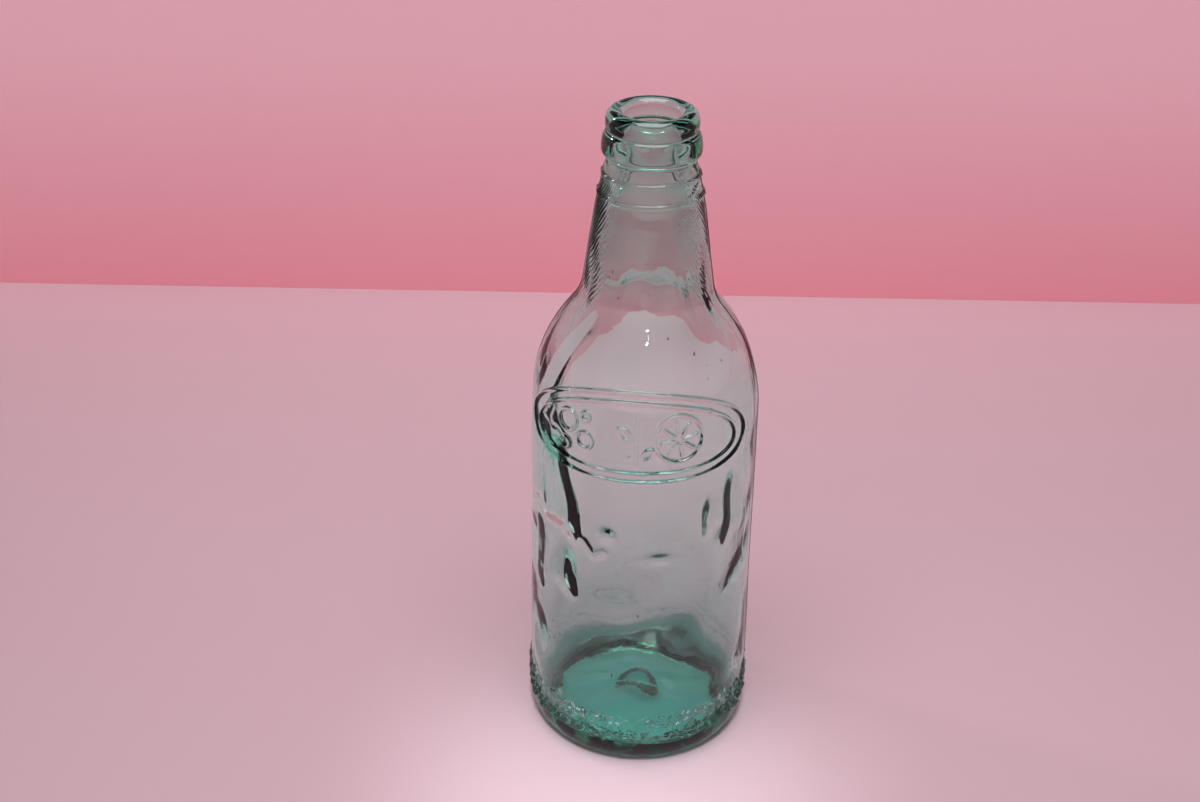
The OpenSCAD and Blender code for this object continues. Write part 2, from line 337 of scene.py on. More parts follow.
# Strokes of up to 0.85 mm, where the CAD part has pins of 0.5 mm, and nearly flat at the back.
STIPPLE_LOW, STIPPLE_HIGH = 9.6, 19.4
STIPPLE_COUNT = 1000
STIPPLE_PIECES, STIPPLE_PIECE_L, STIPPLE_BEND = (1, 3), (0.3, 1.0), 1.6
STIPPLE_HALF_W, STIPPLE_H = (0.38, 0.6), (0.4, 0.85)
SHARP_SHARE, BACK_WEAR = 0.55, 0.12


def stipple(relief, u, z):
    """The knurled band round the heel: short bent strokes at random, worn flatter at the back."""
    draw = random.Random(11)
    for _ in range(STIPPLE_COUNT):
        at = (draw.uniform(-HALF_TURN, HALF_TURN), draw.uniform(STIPPLE_LOW, STIPPLE_HIGH))
        wear = 1 if abs(at[0]) < SHARP_SHARE * HALF_TURN else BACK_WEAR
        a, points = draw.uniform(0, math.tau), [at]
        for _ in range(draw.randint(*STIPPLE_PIECES)):
            length = draw.uniform(*STIPPLE_PIECE_L)
            points.append((points[-1][0] + length * math.cos(a), points[-1][1] + length * math.sin(a)))
            a += draw.uniform(-STIPPLE_BEND, STIPPLE_BEND)
        add_stroke(relief, u, z, points, draw.uniform(*STIPPLE_HALF_W), wear * draw.uniform(*STIPPLE_H))


# The neck rings are higher than in the CAD part (0.6 mm against 0.3 mm), and the wrinkles are
# only here.
RING_ZS = (TOTAL_H - 18.5, TOTAL_H - 24.0)
RING_H, RING_HALF_W = 0.6, 0.9
SEAM_H, SEAM_HALF_W, SEAM_LOW_Z = 0.18, 0.45, 2.0
WRINKLE_ANGLE, WRINKLE_SPREAD = math.radians(60), math.radians(27)
WRINKLE_LENGTH, WRINKLE_LEAN, WRINKLE_LOW_Z = 2.0, 0.75, 150
WRINKLE_LEFT_H, WRINKLE_RIGHT_H, WRINKLE_STRAY = 0.22, 0.05, 1.5
WAVE_H = 0.06


def wrinkled(t, h, side):
    """Fine slanting wrinkles on one side of the neck, as left by a worn mould."""
    from_seam = turned(t, side * math.pi / 2) * SHOULDER_R
    stray = WRINKLE_STRAY * ripple(t, h, seed=17, waves=8, around=(8, 22), wavelength=(8, 30))
    wrinkles = np.cos(math.tau / WRINKLE_LENGTH * (h + side * WRINKLE_LEAN * from_seam) + stray)
    patch = bump(np.abs(turned(t, side * WRINKLE_ANGLE)), WRINKLE_SPREAD)
    height = WRINKLE_LEFT_H if side < 0 else WRINKLE_RIGHT_H
    return height * wrinkles * patch * smooth_band(h, WRINKLE_LOW_Z, NECK_TOP_Z - 1.5, edge=8)


def outside_relief(theta, z):
    """Height above the plain outline for each row z and column theta of the outside."""
    u = np.where(theta > math.pi, theta - math.tau, theta) * SHOULDER_R
    relief = np.zeros((len(z), len(theta)))
    strokes = label_strokes()
    for i, stroke in enumerate(strokes):
        add_stroke(relief, u, z, stroke, RIB_HALF_W if i < OVALS else STROKE_HALF_W, RIB_H)
    stipple(relief, u, z)
    t, h = theta[None, :], z[:, None]
    for ring_z in RING_ZS:
        wobble = 0.25 * np.sin(t + 0.8) + 0.12 * np.sin(3 * t)
        relief += RING_H * bump(np.abs(h - ring_z - wobble), RING_HALF_W)
    for side in (-1, 1):
        from_seam = turned(t, side * math.pi / 2) * SHOULDER_R
        seam_z = smooth_band(h, SEAM_LOW_Z, NECK_TOP_Z - 1, edge=3.0)
        relief += SEAM_H * bump(np.abs(from_seam), SEAM_HALF_W) * seam_z
        relief += wrinkled(t, h, side)
    waves = ripple(t, h, seed=21, waves=10, around=(1, 7), wavelength=(25, 90))
    relief += WAVE_H * waves * smooth_band(h, 8, NECK_TOP_Z, edge=6)
    return relief


INNER_R = HEEL_R - WALL_T
# Unevenness of the blown inner wall, placed one by one.
# Lumps: angle in degrees, height, half sizes round and up, and how far they stand into the bottle.
LUMPS = [
    (-12, 84, 3.5, 3.5, 1.2), (16, 77, 6.5, 2.6, 0.8), (50, 86, 4, 6, -1.0), (20, 100, 10, 7, 0.4),
    (-8, 60, 12, 6, 0.4), (30, 46, 7, 10, 0.5), (-62, 36, 5, 11, 0.3), (150, 92, 8, 14, 0.7),
    (-150, 70, 7, 20, 0.7), (-160, 50, 11, 9, 0.5), (120, 45, 7, 15, 0.5), (100, 100, 6, 18, 0.8),
    (-110, 60, 6, 22, 0.8),
]
# Ridges: points as (angle in degrees, height), half width and depth.
RIDGES = [
    ([(-44, 143), (-49, 136), (-53, 128), (-56, 120)], 6.0, 1.0),
    ([(-14, 78), (-20, 76), (-26, 80)], 2.4, 0.7),
    ([(56, 148), (50, 156), (48, 168)], 8.0, 0.4),
    ([(-60, 156), (-52, 172), (-48, 188)], 9.0, 0.2),
]
# Ledges: the edge of a thick place, whose flank towards the front throws light along the wall and
# so looks dark. Points down the middle of the flank, its width, depth, and how far the thick place
# reaches behind it. The upper end runs out slowly, the lower end quickly.
LEDGES = [
    ([(-44, 112), (-41, 101), (-36.5, 94), (-33, 88), (-31.5, 81)], 6.2, 2.6, 12),
    ([(-35, 73), (-33.5, 60)], 6.6, 2.6, 6),
    ([(-56, 114), (-56, 98), (-54, 88), (-51, 84)], 7.5, 2.0, 12),
    ([(-61, 78), (-60, 56)], 5.0, 0.6, 12),
    ([(43, 94), (42, 84)], 4.2, 1.7, 5),
    ([(58, 99), (57, 90), (56, 79)], 4.5, 1.4, 6),
]
LEDGE_RUN_OUT, LEDGE_END, LEDGE_ROUNDING = 7.5, 4.0, 1.6
LEDGE_AVERAGE = (-5, -3, -1, 1, 3, 5)
LEDGE_SWAY, LEDGE_SWAY_L = 0.35, 3.1
LUMP_TIP, LUMP_TIP_CUT = 0.02, 0.14
# A finely rippled patch on the lower right.
SMUDGE_ANGLE, SMUDGE_SPREAD, SMUDGE_Z, SMUDGE_H = math.radians(50), math.radians(22), (72, 106), 0.02
WALL_WAVE_H, SHOULDER_WAVE_H = 0.22, 0.22
SHOULDER_WAVE_Z = (112, 168)
# Thick places in the corner between wall and floor: angle and spread in degrees, height.
CORNER_LOBES = [(176, 9, 3.0), (140, 14, 0.5), (-145, 14, 0.6), (95, 14, 0.5), (-100, 12, -0.4)]
CORNER_R, CORNER_SPREAD = 27.5, 3.0
# Waves round the corner and round the floor: height, whole waves round the bottle, start in radians.
CORNER_WAVES = [(0.3, 5, 0.4), (0.2, 3, 2)]
FLOOR_WAVES = [(0.45, 3, 0.3), (0.35, 5, 1.9), (0.15, 7, 0)]
FLOOR_FROM_R, FLOOR_TO_R = 3, 30


def lump(t, h, angle, height, across, up, depth):
    """One rounded lump of the inner wall."""
    du = turned(t, math.radians(angle)) * INNER_R / across
    return depth * tent(np.sqrt(du ** 2 + ((h - height) / up) ** 2 + LUMP_TIP) - LUMP_TIP_CUT, 1)


def ledge(t, h, points, width, depth, reach_back):
    """One ledge of the inner wall, with rounded ends."""
    angles, heights = np.array(sorted(points, key=lambda p: p[1])).T
    middle = sum(np.interp(h + d, heights, np.abs(angles)) for d in LEDGE_AVERAGE) / len(LEDGE_AVERAGE)
    middle = middle * math.pi / 180 * INNER_R + LEDGE_SWAY * np.sin(h / LEDGE_SWAY_L)
    side = 1 if angles[0] > 0 else -1
    inwards = middle + width / 2 - turned(t, 0) * INNER_R * side
    profile = np.where(inwards > 0, 1 - np.clip(inwards / width, 0, 1), bump(-inwards, reach_back))
    run_out = LEDGE_RUN_OUT * depth
    rounding = LEDGE_ROUNDING * np.clip(2 * inwards / width - 1, -1.5, 1.5) ** 2
    return depth * profile * smooth_band(h - rounding, heights[0] - LEDGE_END, TOTAL_H, LEDGE_END) \
        * smooth_band(h + rounding, 0, heights[-1] + run_out / 2, run_out)


def waves_round(t, waves):
    """The sum of a list of waves round the bottle."""
    return sum(height * np.cos(turns * t + start) for height, turns, start in waves)


def corner_and_floor(t, h, reach):
    """The uneven thick glass in the corner of the heel, and the gentle waves of the inner floor."""
    lobes = waves_round(t, CORNER_WAVES)
    for angle, width, depth in CORNER_LOBES:
        lobes = lobes + depth * np.exp(-0.5 * (turned(t, math.radians(angle)) / math.radians(width)) ** 2)
    corner = np.exp(-0.5 * ((reach - CORNER_R) / CORNER_SPREAD) ** 2) * (h < CORNER_TOP_Z + 4)
    floor = smooth_band(reach, FLOOR_FROM_R, FLOOR_TO_R, edge=8) * (h < CORNER_TOP_Z)
    return corner * lobes, floor * waves_round(t, FLOOR_WAVES)


def inside_relief(theta, r, z):
    """Height towards the inside for each row and column."""
    t, h, reach = theta[None, :], z[:, None], r[:, None]
    wall = smooth_band(h, CORNER_TOP_Z - 4, BORE_BOTTOM_Z + 2, edge=12)
    wall_waves = ripple(t, h, seed=5, waves=14, around=(1, 9), wavelength=(18, 90))
    relief = WALL_WAVE_H * wall_waves * wall
    shoulder = smooth_band(h, *SHOULDER_WAVE_Z, edge=14)
    shoulder_waves = ripple(t, h, seed=8, waves=6, around=(7, 12), wavelength=(150, 400))
    relief += SHOULDER_WAVE_H * shoulder_waves * shoulder
    for each in LUMPS:
        relief += lump(t, h, *each)
    above = np.flatnonzero(z > CORNER_TOP_Z)
    u = turned(theta, 0) * INNER_R
    for points, half_width, depth in RIDGES:
        ridge = np.zeros((len(above), len(theta)))
        line = [(math.radians(angle) * INNER_R, height) for angle, height in points]
        add_stroke(ridge, u, z[above], line, half_width, depth, tent)
        relief[above] += ridge
    for each in LEDGES:
        relief += ledge(t, h, *each)
    smudge = bump(np.abs(turned(t, SMUDGE_ANGLE)), SMUDGE_SPREAD) * smooth_band(h, *SMUDGE_Z, edge=10)
    relief += SMUDGE_H * smudge * ripple(t, h, seed=31, waves=12, around=(50, 110), wavelength=(2.5, 6))
    for part in corner_and_floor(t, h, reach):
        relief += part
    return relief


# The mark is wider, softer and lower than in the CAD part (0.3 mm against 0.6 mm).
MARK_R, MARK_Y = 5.3, 1.0
MARK_H, MARK_HALF_W = 0.30, 1.9
BAR_HALF_L, BAR_BELOW = 5.4, 2.9


def under_relief(theta, r):
    """A half ring over a bar, raised on the hollow under the base."""
    x = r[:, None] * np.sin(theta)[None, :]
    y = -r[:, None] * np.cos(theta)[None, :]
    ring = np.abs(np.hypot(x, y - MARK_Y) - MARK_R)
    ends = np.hypot(np.abs(x) - MARK_R, y - MARK_Y)
    ring = np.where(y >= MARK_Y, ring, ends)
    bar = np.hypot(np.clip(np.abs(x) - BAR_HALF_L, 0, None), y - (MARK_Y - BAR_BELOW))
    return MARK_H * np.maximum(bump(ring, MARK_HALF_W), bump(bar, MARK_HALF_W))


# ---------------------------------------------------------------- mesh
def ring_angles(count):
    """Angles of the points of one ring of the mesh, starting at the front."""
    return np.arange(count) * math.tau / count


LEAST_R = 0.02


def glass_mesh():
    """Vertices in millimetres, and faces, of the whole skin of glass."""
    rows, normals, part = outline_rows()
    vertices, starts, counts = [], [], []
    total = 0
    for which, count, relief_of in (
            (UNDER, COARSE, lambda t, r, z: under_relief(t, r)),
            (OUTSIDE, FINE, lambda t, r, z: outside_relief(t, z)),
            (INSIDE, COARSE, inside_relief)):
        chosen = np.flatnonzero(part == which)
        theta = ring_angles(count)
        relief = relief_of(theta, rows[chosen, 0], rows[chosen, 1])
        r = np.clip(rows[chosen, 0][:, None] + normals[chosen, 0][:, None] * relief, LEAST_R, None)
        z = rows[chosen, 1][:, None] + normals[chosen, 1][:, None] * relief
        block = np.stack([r * np.sin(theta), -r * np.cos(theta), z], -1)
        for line in block:
            vertices.append(line)
            starts.append(total)
            counts.append(count)
            total += count
    faces = []
    for i in range(len(starts) - 1):
        faces.append(strip(starts[i], counts[i], starts[i + 1], counts[i + 1]))
    faces = np.concatenate(faces)
    caps = [np.stack([np.full(counts[0], total), np.roll(np.arange(counts[0]), -1),
                      np.arange(counts[0])], 1),
            np.stack([np.full(counts[-1], total + 1), np.arange(counts[-1]) + starts[-1],
                      np.roll(np.arange(counts[-1]), -1) + starts[-1]], 1)]
    poles = np.array([[0, 0, vertices[0][:, 2].mean()], [0, 0, vertices[-1][:, 2].mean()]])
    vertices = np.concatenate([*vertices, poles])
    seed_points, seed_faces = seed_bubbles(len(vertices))
    return np.concatenate([vertices, seed_points]), np.concatenate([faces, *caps, seed_faces])


SEEDS = 46
SEED_Z, SEED_DEPTH = (24, 168), (1.1, 1.9)
SEED_R, SEED_STRETCH = (0.14, 0.34), (1.0, 2.6)
SEED_AROUND, SEED_UP = 12, 7


def seed_bubbles(first_index):
    """Tiny bubbles caught in the wall, drawn out upwards, with their faces turned to the air inside."""
    draw = random.Random(29)
    points, faces = [], []
    for _ in range(SEEDS):
        theta, z = draw.uniform(0, math.tau), draw.uniform(*SEED_Z)
        centre_r = radius_outside(z) - draw.uniform(*SEED_DEPTH)
        size, stretch = draw.uniform(*SEED_R), draw.uniform(*SEED_STRETCH)
        start = first_index + len(points)
        for j in range(SEED_UP):
            a = math.pi * (j + 0.5) / SEED_UP - math.pi / 2
            for i in range(SEED_AROUND):
                b = math.tau * i / SEED_AROUND
                across, inwards = size * math.cos(a) * math.cos(b), size * math.cos(a) * math.sin(b)
                r, t = centre_r + inwards, theta + across / centre_r
                points.append((r * math.sin(t), -r * math.cos(t), z + stretch * size * math.sin(a)))
        for j in range(SEED_UP - 1):
            below = start + j * SEED_AROUND
            faces.append(strip(below, SEED_AROUND, below + SEED_AROUND, SEED_AROUND))
        for ring_start, order in ((start, -1), (start + (SEED_UP - 1) * SEED_AROUND, 1)):
            faces.append(np.array([(ring_start, ring_start + i, ring_start + i + 1)[::order]
                                   for i in range(1, SEED_AROUND - 1)]))
    return np.array(points), np.concatenate(faces)


def radius_outside(z):
    """Radius of the plain outside at a height."""
    outside = np.concatenate([np.asarray(s, float) for s in shoulder_and_neck(0)])
    return float(np.interp(z, outside[:, 1], outside[:, 0], left=HEEL_R))


def strip(a, a_count, b, b_count):
    """Triangles between two rings. One ring may have twice the points of the other."""
    if a_count == b_count:
        i = np.arange(a_count)
        j = np.roll(i, -1)
        return np.concatenate([np.stack([a + i, a + j, b + j], 1), np.stack([a + i, b + j, b + i], 1)])
    i = np.arange(min(a_count, b_count))
    j = np.roll(i, -1)
    if b_count > a_count:
        fine, coarse = b, a
        k, m, n = fine + 2 * i, fine + 2 * i + 1, fine + 2 * j
        return np.concatenate([np.stack([coarse + i, m, k], 1), np.stack([coarse + i, coarse + j, m], 1),
                               np.stack([coarse + j, n, m], 1)])
    fine, coarse = a, b
    k, m, n = fine + 2 * i, fine + 2 * i + 1, fine + 2 * j
    return np.concatenate([np.stack([k, m, coarse + i], 1), np.stack([m, coarse + j, coarse + i], 1),
                           np.stack([m, n, coarse + j], 1)])


def make_object(name, vertices, faces):
    """A smooth-shaded mesh object from vertices in millimetres."""
    mesh = bpy.data.meshes.new(name)
    mesh.vertices.add(len(vertices))
    mesh.vertices.foreach_set("co", (vertices * MM).astype(np.float32).ravel())
    mesh.loops.add(faces.size)
    mesh.loops.foreach_set("vertex_index", faces.astype(np.int32).ravel())
    mesh.polygons.add(len(faces))
    mesh.polygons.foreach_set("loop_start", np.arange(0, faces.size, 3, dtype=np.int32))
    mesh.polygons.foreach_set("use_smooth", np.ones(len(faces), bool))
    mesh.update(calc_edges=True)
    mesh.validate()
    obj = bpy.data.objects.new(name, mesh)
    bpy.context.scene.collection.objects.link(obj)
    return obj


# ---------------------------------------------------------------- materials
def new_material(name):
    """A node material, with its tree, its Principled shader and its output."""
    material = bpy.data.materials.new(name)
    material.use_nodes = True
    tree = material.node_tree
    return material, tree, tree.nodes["Principled BSDF"], tree.nodes["Material Output"]


def noise(tree, scale, detail):
    """Noise fixed to the object."""
    node = tree.nodes.new("ShaderNodeTexNoise")
    node.inputs["Scale"].default_value = scale
    node.inputs["Detail"].default_value = detail
    place = tree.nodes.new("ShaderNodeTexCoord")
    tree.links.new(place.outputs["Object"], node.inputs["Vector"])
    return node.outputs["Fac"]


def remap(tree, value, from_range, to_range):
    """A value carried smoothly from one range to another, and held at the ends."""
    node = tree.nodes.new("ShaderNodeMapRange")
    node.interpolation_type = "SMOOTHSTEP"
    node.inputs["From Min"].default_value, node.inputs["From Max"].default_value = from_range
    node.inputs["To Min"].default_value, node.inputs["To Max"].default_value = to_range
    tree.links.new(value, node.inputs["Value"])
    return node.outputs["Result"]


def band(tree, value, rise, fall):
    """1 between two soft edges, and 0 outside them."""
    return combine(tree, "MULTIPLY", remap(tree, value, rise, (0, 1)), remap(tree, value, fall, (1, 0)))


def combine(tree, operation, first, second):
    """A sum, product or the like of two sockets or numbers."""
    node = tree.nodes.new("ShaderNodeMath")
    node.operation = operation
    for socket, value in zip(node.inputs, (first, second)):
        if isinstance(value, (int, float)):
            socket.default_value = value
        else:
            tree.links.new(value, socket)
    return node.outputs[0]


def radius_and_height(tree):
    """Distance from the bottle's axis and height above the table, in metres."""
    place = tree.nodes.new("ShaderNodeTexCoord")
    split = tree.nodes.new("ShaderNodeSeparateXYZ")
    tree.links.new(place.outputs["Object"], split.inputs[0])
    x_squared = combine(tree, "MULTIPLY", split.outputs["X"], split.outputs["X"])
    y_squared = combine(tree, "MULTIPLY", split.outputs["Y"], split.outputs["Y"])
    return combine(tree, "SQRT", combine(tree, "ADD", x_squared, y_squared), 0), split.outputs["Z"]


def tinted(tree, factor, first, second):
    """Mixes two colours, or a socket and a colour, by a factor."""
    node = tree.nodes.new("ShaderNodeMix")
    node.data_type = "RGBA"
    tree.links.new(factor, node.inputs["Factor"])
    for name, colour in (("A", first), ("B", second)):
        socket = [i for i in node.inputs if i.name == name and i.type == "RGBA"][0]
        if isinstance(colour, tuple):
            socket.default_value = (*colour, 1)
        else:
            tree.links.new(colour, socket)
    return [o for o in node.outputs if o.type == "RGBA"][0]


def near_angle(tree, angle, spread):
    """1 at an angle round the bottle, falling softly to 0 at spread from it."""
    place = tree.nodes.new("ShaderNodeTexCoord")
    flat = tree.nodes.new("ShaderNodeVectorMath")
    flat.operation = "MULTIPLY"
    flat.inputs[1].default_value = (1, 1, 0)
    unit = tree.nodes.new("ShaderNodeVectorMath")
    unit.operation = "NORMALIZE"
    along = tree.nodes.new("ShaderNodeVectorMath")
    along.operation = "DOT_PRODUCT"
    along.inputs[1].default_value = (math.sin(angle), -math.cos(angle), 0)
    tree.links.new(place.outputs["Object"], flat.inputs[0])
    tree.links.new(flat.outputs["Vector"], unit.inputs[0])
    tree.links.new(unit.outputs["Vector"], along.inputs[0])
    return remap(tree, along.outputs["Value"], (math.cos(spread), 1.0), (0, 1))


def on_mark(tree, radius, height):
    """1 where the surface under the base stands below the plain hollow: the raised mark, which is tinted
    near black.
    """
    across = combine(tree, "DIVIDE", radius, FOOT_INNER_R * MM)
    rise = combine(tree, "SUBTRACT", 1.0, combine(tree, "MULTIPLY", across, across))
    dome = combine(tree, "MULTIPLY", combine(tree, "SQRT", rise, 0), PUSH_UP * MM)
    return remap(tree, combine(tree, "SUBTRACT", dome, height), (0.00006, 0.00016), (0, 1))


GLASS_IOR = 1.5
ABSORPTION_COLOUR, ABSORPTION_DENSITY = (0.28, 0.95, 0.79, 1), 58.0
# What the surface lets through, place by place.
CLEAR = (1.0, 1.0, 1.0)
NECK_TINT = (0.80, 0.85, 0.83)
# Partly painted shade: the lower wall is darker for the bottle's own shadow on the table seen through it,
# and partly the greener tone of the glass low down.
LOW_WALL_SHADE_TINT = (0.87, 0.93, 0.92)
HEEL_TINT = (0.27, 0.60, 0.54)
HOLLOW_TINT = (0.40, 1.0, 1.0)
# Painted shade: the dark ring is the shaded table under the bearing ring, seen through the glass.
RING_SHADE_TINT = (0.01, 0.16, 0.13)
# Near black on the raised mark under the base.
MARK_DARK_TINT = (0.01, 0.04, 0.04)
POLISHED, SCUFFED, RUBBED = 0.004, 0.22, 0.16
RUBBED_ANGLE, RUBBED_SPREAD = math.radians(52), math.radians(24)
SCUFF_SCALE, SCUFF_DETAIL, SCUFF_NOISE, SCUFFS_HIGH_UP = 260, 6, (0.52, 0.70), 0.12
RIPPLE_SCALE, RIPPLE_DETAIL, RIPPLE_STRENGTH, RIPPLE_DEPTH = 170, 3, 0.35, 0.0002
# Where each of them fades in or out: heights and distances from the axis, in metres.
NECK_Z = (0.130, 0.160)
LOW_WALL_Z, LOW_WALL_R = (0.020, 0.080), (0.0270, 0.0300)
HEEL_GREEN_Z, HEEL_GREEN_R = (0.007, 0.012), (0.0285, 0.0297)
HOLLOW_Z, HOLLOW_EDGE_R = (0.0030, 0.0040), (0.0266, 0.0272)
RING_Z, RING_IN_R, RING_OUT_R = (0.0006, 0.0014), (0.0262, 0.0270), (0.0296, 0.0303)
SCUFFS_Z = (0.004, 0.022)
RUBBED_LOW_Z, RUBBED_HIGH_Z = (0.068, 0.084), (0.096, 0.108)


def glass_tint(tree):
    """A greyer neck, a lower wall darkened partly by painted shade, a greener heel, a teal hollow under the
    base, a dark ring of painted shade, and a dark mark.
    """
    radius, height = radius_and_height(tree)
    underneath = remap(tree, height, HOLLOW_Z, (1, 0))
    hollow = combine(tree, "MULTIPLY", underneath, remap(tree, radius, HOLLOW_EDGE_R, (1, 0)))
    # Painted shade round the bearing ring under the base.
    ring = combine(tree, "MULTIPLY", remap(tree, height, RING_Z, (1, 0)),
                   band(tree, radius, RING_IN_R, RING_OUT_R))
    heel = combine(tree, "MULTIPLY", remap(tree, height, HEEL_GREEN_Z, (1, 0)),
                   remap(tree, radius, HEEL_GREEN_R, (0, 1)))
    # Painted shade, partly, on the lower wall.
    low_wall_shade = combine(tree, "MULTIPLY", remap(tree, height, LOW_WALL_Z, (1, 0)),
                       remap(tree, radius, LOW_WALL_R, (0, 1)))
    colour = tinted(tree, remap(tree, height, NECK_Z, (0, 1)), CLEAR, NECK_TINT)
    colour = tinted(tree, low_wall_shade, colour, LOW_WALL_SHADE_TINT)
    colour = tinted(tree, heel, colour, HEEL_TINT)
    colour = tinted(tree, hollow, colour, HOLLOW_TINT)
    colour = tinted(tree, ring, colour, RING_SHADE_TINT)
    dark_mark = combine(tree, "MULTIPLY", hollow, on_mark(tree, radius, height))
    return tinted(tree, dark_mark, colour, MARK_DARK_TINT)


def glass_roughness(tree):
    """Scuffs, thickest round the foot, and one rubbed patch on the lower right."""
    height = radius_and_height(tree)[1]
    scuffs = remap(tree, noise(tree, SCUFF_SCALE, SCUFF_DETAIL), SCUFF_NOISE, (0.0, SCUFFED))
    worn = combine(tree, "MULTIPLY", scuffs, remap(tree, height, SCUFFS_Z, (1.0, SCUFFS_HIGH_UP)))
    rubbed = combine(tree, "MULTIPLY", near_angle(tree, RUBBED_ANGLE, RUBBED_SPREAD),
                     band(tree, height, RUBBED_LOW_Z, RUBBED_HIGH_Z))
    scatter = combine(tree, "ADD", combine(tree, "MULTIPLY", rubbed, RUBBED), POLISHED)
    return combine(tree, "ADD", worn, scatter)


def glass_ripples(tree):
    """Slight ripples of the surface."""
    ripples = tree.nodes.new("ShaderNodeBump")
    ripples.inputs["Strength"].default_value = RIPPLE_STRENGTH
    ripples.inputs["Distance"].default_value = RIPPLE_DEPTH
    tree.links.new(noise(tree, RIPPLE_SCALE, RIPPLE_DETAIL), ripples.inputs["Height"])
    return ripples.outputs["Normal"]


def bottle_glass():
    """Pale soda glass that turns sea green where it is thick, with the wear of a returned bottle."""
    material, tree, shader, output = new_material("bottle_glass")
    shader.inputs["Transmission Weight"].default_value = 1.0
    shader.inputs["IOR"].default_value = GLASS_IOR
    volume = tree.nodes.new("ShaderNodeVolumeAbsorption")
    volume.inputs["Color"].default_value = ABSORPTION_COLOUR
    volume.inputs["Density"].default_value = ABSORPTION_DENSITY
    tree.links.new(volume.outputs["Volume"], output.inputs["Volume"])
    tree.links.new(glass_tint(tree), shader.inputs["Base Color"])
    tree.links.new(glass_roughness(tree), shader.inputs["Roughness"])
    tree.links.new(glass_ripples(tree), shader.inputs["Normal"])
    return material


# ---------------------------------------------------------------- stage, light and camera
CAMERA_PLACE = (0.0470, -0.4487, 0.3639)
CAMERA_YAW, CAMERA_PITCH, CAMERA_ROLL = math.radians(7.7), math.radians(-29.09), math.radians(0.813)
STAGE_YAW = math.radians(7.2)
WALL_Y, WALL_H = 0.313, 0.21
# The lower pink is painted shade at the wall's foot, where it meets the table.
WALL_FOOT_SHADE_PINK, WALL_HIGH_PINK, WALL_FADE_H = (0.74, 0.31, 0.375, 1), (0.78, 0.47, 0.53, 1), 0.12
# Painted light: the floor is paler under the bottle, for light that comes down through the glass.
FLOOR_PINK, PAINTED_LIGHT_UNDER_BOTTLE = (0.53, 0.365, 0.41), (0.85, 0.97, 1.0)
FLOOR_HALF, FLOOR_Z, WALL_HALF = 6, -0.00005, 4


def sheet(name, corners, material):
    """A flat stage surface, turned to face the camera."""
    mesh = bpy.data.meshes.new(name)
    mesh.from_pydata(corners, [], [(0, 1, 2, 3)])
    obj = bpy.data.objects.new(name, mesh)
    obj.rotation_euler = (0, 0, STAGE_YAW)
    bpy.context.scene.collection.objects.link(obj)
    mesh.materials.append(material)
    return obj


def wall_paint():
    """Painted shade: darker, deeper pink towards the floor, where the wall meets the table; and clear when
    seen from behind.
    """
    material, tree, shader, output = new_material("wall_pink")
    shader.inputs["Roughness"].default_value = 0.8
    place = tree.nodes.new("ShaderNodeTexCoord")
    split = tree.nodes.new("ShaderNodeSeparateXYZ")
    ramp = tree.nodes.new("ShaderNodeValToRGB")
    scale = tree.nodes.new("ShaderNodeMapRange")
    scale.inputs["From Max"].default_value = WALL_FADE_H
    tree.links.new(place.outputs["Object"], split.inputs[0])
    tree.links.new(split.outputs["Z"], scale.inputs["Value"])
    tree.links.new(scale.outputs["Result"], ramp.inputs["Fac"])
    # Painted shade: darker pink at the wall's foot.
    ramp.color_ramp.elements[0].color = WALL_FOOT_SHADE_PINK
    ramp.color_ramp.elements[1].color = WALL_HIGH_PINK
    tree.links.new(ramp.outputs["Color"], shader.inputs["Base Color"])
    geometry = tree.nodes.new("ShaderNodeNewGeometry")
    clear = tree.nodes.new("ShaderNodeBsdfTransparent")
    mix = tree.nodes.new("ShaderNodeMixShader")
    tree.links.new(geometry.outputs["Backfacing"], mix.inputs["Fac"])
    tree.links.new(shader.outputs["BSDF"], mix.inputs[1])
    tree.links.new(clear.outputs["BSDF"], mix.inputs[2])
    tree.links.new(mix.outputs["Shader"], output.inputs["Surface"])
    return material


def floor_paint():
    """Pale pink, with painted light: paler in the small round the bottle covers, standing in for the light
    that comes down through the glass, which the lamps hardly bring there.
    """
    material, tree, shader, output = new_material("floor_pink")
    shader.inputs["Roughness"].default_value = 0.6
    # Painted light under the bottle.
    lit_under_bottle = remap(tree, radius_and_height(tree)[0], (0.0285, 0.0298), (1, 0))
    tree.links.new(tinted(tree, lit_under_bottle, FLOOR_PINK, PAINTED_LIGHT_UNDER_BOTTLE), shader.inputs["Base Color"])
    return material


def make_stage():
    """The table and the low wall behind it."""
    sheet("floor", [(x * FLOOR_HALF, y * FLOOR_HALF, FLOOR_Z)
                    for x, y in ((-1, -1), (1, -1), (1, 1), (-1, 1))], floor_paint())
    sheet("backdrop", [(x * WALL_HALF, WALL_Y, z)
                       for x, z in ((-1, 0), (1, 0), (1, WALL_H), (-1, WALL_H))], wall_paint())


def aimed(name, data, place, target):
    """A light at a place, turned towards its target."""
    light = bpy.data.objects.new(name, data)
    place, target = Vector(place), Vector(target)
    light.location = place
    light.rotation_euler = (target - place).to_track_quat("-Z", "Y").to_euler()
    bpy.context.scene.collection.objects.link(light)
    return light


def area_light(name, place, target, size, energy):
    """A soft rectangular panel."""
    data = bpy.data.lights.new(name, "AREA")
    data.shape = "RECTANGLE"
    data.size, data.size_y = size
    data.energy = energy
    return aimed(name, data, place, target)


def spot_light(name, place, target, radius, cone, energy):
    """A small round lamp with a soft-edged cone, in degrees."""
    data = bpy.data.lights.new(name, "SPOT")
    data.shadow_soft_size = radius
    data.spot_size, data.spot_blend = math.radians(cone), 1.0
    data.energy = energy
    return aimed(name, data, place, target)


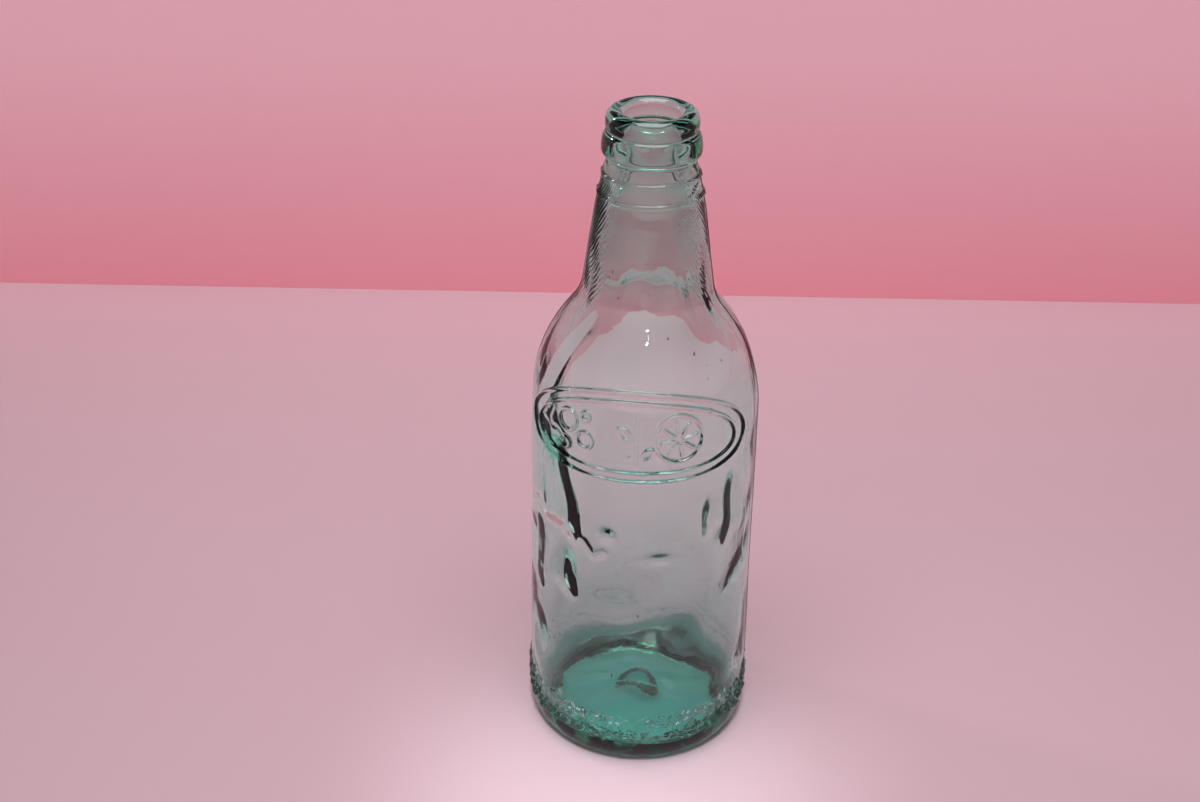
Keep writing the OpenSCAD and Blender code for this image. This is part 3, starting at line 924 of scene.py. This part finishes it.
ROOM_LOW, ROOM_HIGH = (0.70, 0.56, 0.60, 1), (0.02, 0.022, 0.025, 1)
GLOW_TOWARDS, GLOW_FROM, GLOW_STRENGTH = (0.0, -0.80, 0.60), 0.45, 0.78


def make_room():
    """Surroundings that are pink low down and dark above, with a soft glow in front."""
    world = bpy.data.worlds.new("studio")
    bpy.context.scene.world = world
    world.use_nodes = True
    tree = world.node_tree
    place = tree.nodes.new("ShaderNodeTexCoord")
    split = tree.nodes.new("ShaderNodeSeparateXYZ")
    ramp = tree.nodes.new("ShaderNodeValToRGB")
    tree.links.new(place.outputs["Generated"], split.inputs[0])
    tree.links.new(split.outputs["Z"], ramp.inputs["Fac"])
    tree.links.new(ramp.outputs["Color"], tree.nodes["Background"].inputs["Color"])
    ramp.color_ramp.elements[0].position, ramp.color_ramp.elements[1].position = 0.15, 0.62
    ramp.color_ramp.elements[0].color = ROOM_LOW
    ramp.color_ramp.elements[1].color = ROOM_HIGH
    ahead = tree.nodes.new("ShaderNodeVectorMath")
    ahead.operation = "DOT_PRODUCT"
    ahead.inputs[1].default_value = Vector(GLOW_TOWARDS).normalized()
    tree.links.new(place.outputs["Generated"], ahead.inputs[0])
    glow = tree.nodes.new("ShaderNodeBackground")
    strength = remap(tree, ahead.outputs["Value"], (GLOW_FROM, 1.0), (0.0, GLOW_STRENGTH))
    tree.links.new(strength, glow.inputs["Strength"])
    both = tree.nodes.new("ShaderNodeAddShader")
    tree.links.new(tree.nodes["Background"].outputs[0], both.inputs[0])
    tree.links.new(glow.outputs[0], both.inputs[1])
    tree.links.new(both.outputs[0], tree.nodes["World Output"].inputs["Surface"])


def make_lamps():
    """A soft panel overhead, two lamps for glints, and a pool of light round the bottle's foot."""
    area_light("overhead", place=(0.0, -0.10, 1.3), target=(0, 0.05, 0), size=(1.0, 0.9), energy=15.6)
    spot_light("lamp", place=(0.083, -0.731, 0.92), target=(0, -0.02, 0.02),
               radius=0.020, cone=30, energy=7)
    spot_light("side_lamp", place=(-0.62, 0.22, 0.50), target=(0, 0, 0.14),
               radius=0.035, cone=24, energy=3)
    pool = spot_light("pool", place=(0.05, -0.55, 1.05), target=(0.001, -0.052, 0),
                      radius=0.030, cone=8.8, energy=40)
    pool.data.color = (0.80, 1.0, 0.99)


def make_camera():
    """The camera, in front and well above, looking down at the label."""
    data = bpy.data.cameras.new("camera")
    data.sensor_width = 36
    data.lens = 51.0
    data.clip_start, data.clip_end = 0.01, 50
    camera = bpy.data.objects.new("camera", data)
    camera.matrix_world = (Matrix.Translation(CAMERA_PLACE) @ Matrix.Rotation(CAMERA_YAW, 4, "Z")
                           @ Matrix.Rotation(math.pi / 2 + CAMERA_PITCH, 4, "X")
                           @ Matrix.Rotation(CAMERA_ROLL, 4, "Z"))
    bpy.context.scene.collection.objects.link(camera)
    bpy.context.scene.camera = camera


vertices, faces = glass_mesh()
bottle = make_object("bottle_glass", vertices, faces)
bottle.data.materials.append(bottle_glass())
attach(bottle, "root")
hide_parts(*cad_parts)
make_stage()
make_room()
make_lamps()
make_camera()
bpy.context.scene.view_settings.view_transform = "Standard"
bpy.context.scene.view_settings.gamma = 0.88
